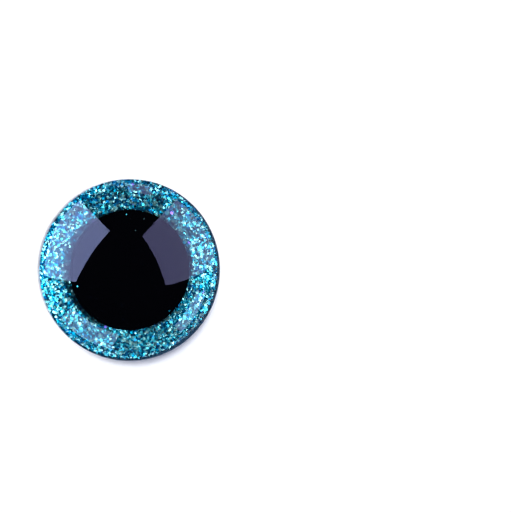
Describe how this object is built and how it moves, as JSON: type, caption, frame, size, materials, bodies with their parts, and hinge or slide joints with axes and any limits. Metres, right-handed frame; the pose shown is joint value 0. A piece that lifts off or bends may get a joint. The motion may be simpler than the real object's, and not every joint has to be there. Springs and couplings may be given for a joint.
{
  "type": "glitter safety eye",
  "caption": "Round toy eye with a clear domed front, black pupil and glitter ring, on a ribbed stem that a push-on washer locks behind fabric.",
  "frame": {"origin": "on the stem's axis in the plane of the dome's back rim, where the fabric lies", "axes": "the eye looks along +Z, and the stem points along -Z"},
  "size_m": [0.02, 0.02, 0.0198],
  "materials": {
    "clear_plastic": "clear moulded plastic, polished front",
    "black_plastic": "glossy moulded black",
    "glitter_cloth": "turquoise glitter on a dark teal ground, non-woven back",
    "washer_plastic": "satin white moulded plastic"
  },
  "bodies": {
    "root": {"clear_dome": "clear_plastic", "pupil_stem": "black_plastic", "glitter_disc": "glitter_cloth", "lock_washer": "washer_plastic"}
  },
  "joints": []
}
